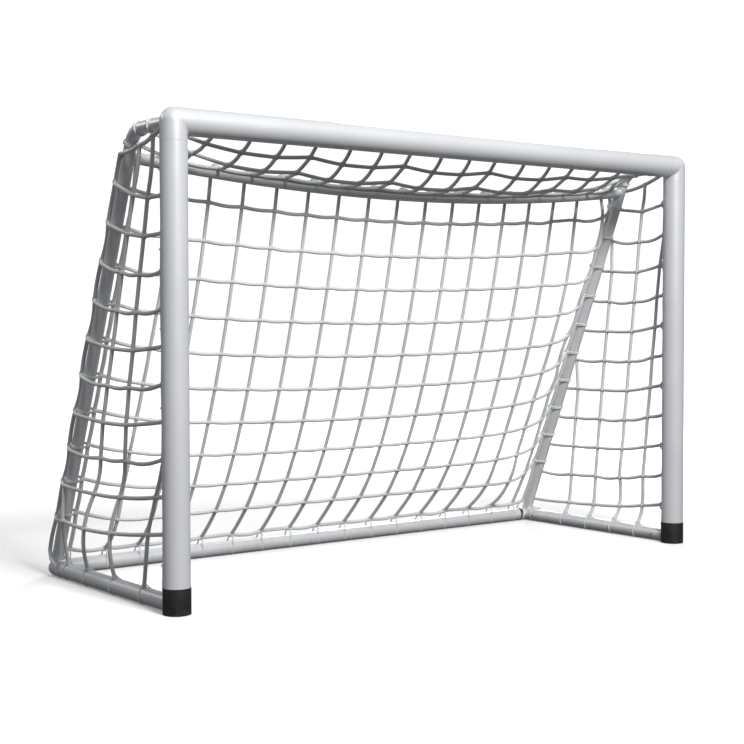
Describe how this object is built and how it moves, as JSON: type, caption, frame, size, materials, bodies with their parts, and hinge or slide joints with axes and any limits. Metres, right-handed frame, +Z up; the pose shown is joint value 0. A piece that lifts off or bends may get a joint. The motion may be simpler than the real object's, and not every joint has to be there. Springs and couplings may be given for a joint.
{
  "type": "practice soccer goal",
  "caption": "Free-standing practice soccer goal: round posts and crossbar, raking back stays, ground frame and a square-mesh net, locked together by snap buttons.",
  "frame": {"origin": "on the ground, under the middle of the goal's box", "axes": "+X along the goal line, +Y from the goal mouth to the rear, +Z up"},
  "size_m": [1.943, 0.762, 1.27],
  "materials": {
    "tube_paint": "satin",
    "connector_paint": "satin",
    "black_rubber": "matte",
    "spring_steel": "satin",
    "hook_plastic": "satin",
    "net_cord": "matte"
  },
  "bodies": {
    "frame": {"crossbar": "tube_paint", "rear_ground_bar": "tube_paint", "rear_top_bar": "tube_paint", "left_post": "tube_paint", "left_side_ground_bar": "tube_paint", "left_back_stay": "tube_paint", "left_top_arm": "tube_paint", "left_top_corner": "connector_paint", "left_rear_base_corner": "connector_paint", "left_rear_tee": "connector_paint", "left_foot_cap": "black_rubber", "left_post_foot": "black_rubber", "left_rear_ferrule": "black_rubber", "left_post_hook_1": "hook_plastic", "left_post_hook_2": "hook_plastic", "left_post_hook_3": "hook_plastic", "left_post_hook_4": "hook_plastic", "left_post_hook_5": "hook_plastic", "left_post_hook_6": "hook_plastic", "net_left": "net_cord", "right_post": "tube_paint", "right_side_ground_bar": "tube_paint", "right_back_stay": "tube_paint", "right_top_arm": "tube_paint", "right_top_corner": "connector_paint", "right_rear_base_corner": "connector_paint", "right_rear_tee": "connector_paint", "right_foot_cap": "black_rubber", "right_post_foot": "black_rubber", "right_rear_ferrule": "black_rubber", "right_post_hook_1": "hook_plastic", "right_post_hook_2": "hook_plastic", "right_post_hook_3": "hook_plastic", "right_post_hook_4": "hook_plastic", "right_post_hook_5": "hook_plastic", "right_post_hook_6": "hook_plastic", "net_right": "net_cord", "crossbar_hook_1": "hook_plastic", "crossbar_hook_2": "hook_plastic", "crossbar_hook_3": "hook_plastic", "crossbar_hook_4": "hook_plastic", "crossbar_hook_5": "hook_plastic", "crossbar_hook_6": "hook_plastic", "net_back": "net_cord", "net_top": "net_cord"},
    "left_crossbar_clip": {"left_crossbar_clip": "spring_steel"},
    "left_post_clip": {"left_post_clip": "spring_steel"},
    "left_front_ground_clip": {"left_front_ground_clip": "spring_steel"},
    "left_side_ground_clip": {"left_side_ground_clip": "spring_steel"},
    "left_rear_ground_clip": {"left_rear_ground_clip": "spring_steel"},
    "right_crossbar_clip": {"right_crossbar_clip": "spring_steel"},
    "right_post_clip": {"right_post_clip": "spring_steel"},
    "right_front_ground_clip": {"right_front_ground_clip": "spring_steel"},
    "right_side_ground_clip": {"right_side_ground_clip": "spring_steel"},
    "right_rear_ground_clip": {"right_rear_ground_clip": "spring_steel"}
  },
  "joints": [
    {"name": "left_crossbar_clip_press", "type": "slide", "parent": "frame", "child": "left_crossbar_clip", "axis": [0, -1, 0], "range_m": [0, 0.006], "stiffness_N_per_m": 1200},
    {"name": "left_post_clip_press", "type": "slide", "parent": "frame", "child": "left_post_clip", "axis": [0, -1, 0], "range_m": [0, 0.006], "stiffness_N_per_m": 1200},
    {"name": "left_front_ground_clip_press", "type": "slide", "parent": "frame", "child": "left_front_ground_clip", "axis": [-1, 0, 0], "range_m": [0, 0.006], "stiffness_N_per_m": 1200},
    {"name": "left_side_ground_clip_press", "type": "slide", "parent": "frame", "child": "left_side_ground_clip", "axis": [-1, 0, 0], "range_m": [0, 0.006], "stiffness_N_per_m": 1200},
    {"name": "left_rear_ground_clip_press", "type": "slide", "parent": "frame", "child": "left_rear_ground_clip", "axis": [0, -1, 0], "range_m": [0, 0.006], "stiffness_N_per_m": 1200},
    {"name": "right_crossbar_clip_press", "type": "slide", "parent": "frame", "child": "right_crossbar_clip", "axis": [0, -1, 0], "range_m": [0, 0.006], "stiffness_N_per_m": 1200},
    {"name": "right_post_clip_press", "type": "slide", "parent": "frame", "child": "right_post_clip", "axis": [0, -1, 0], "range_m": [0, 0.006], "stiffness_N_per_m": 1200},
    {"name": "right_front_ground_clip_press", "type": "slide", "parent": "frame", "child": "right_front_ground_clip", "axis": [1, 0, 0], "range_m": [0, 0.006], "stiffness_N_per_m": 1200},
    {"name": "right_side_ground_clip_press", "type": "slide", "parent": "frame", "child": "right_side_ground_clip", "axis": [1, 0, 0], "range_m": [0, 0.006], "stiffness_N_per_m": 1200},
    {"name": "right_rear_ground_clip_press", "type": "slide", "parent": "frame", "child": "right_rear_ground_clip", "axis": [0, -1, 0], "range_m": [0, 0.006], "stiffness_N_per_m": 1200}
  ]
}
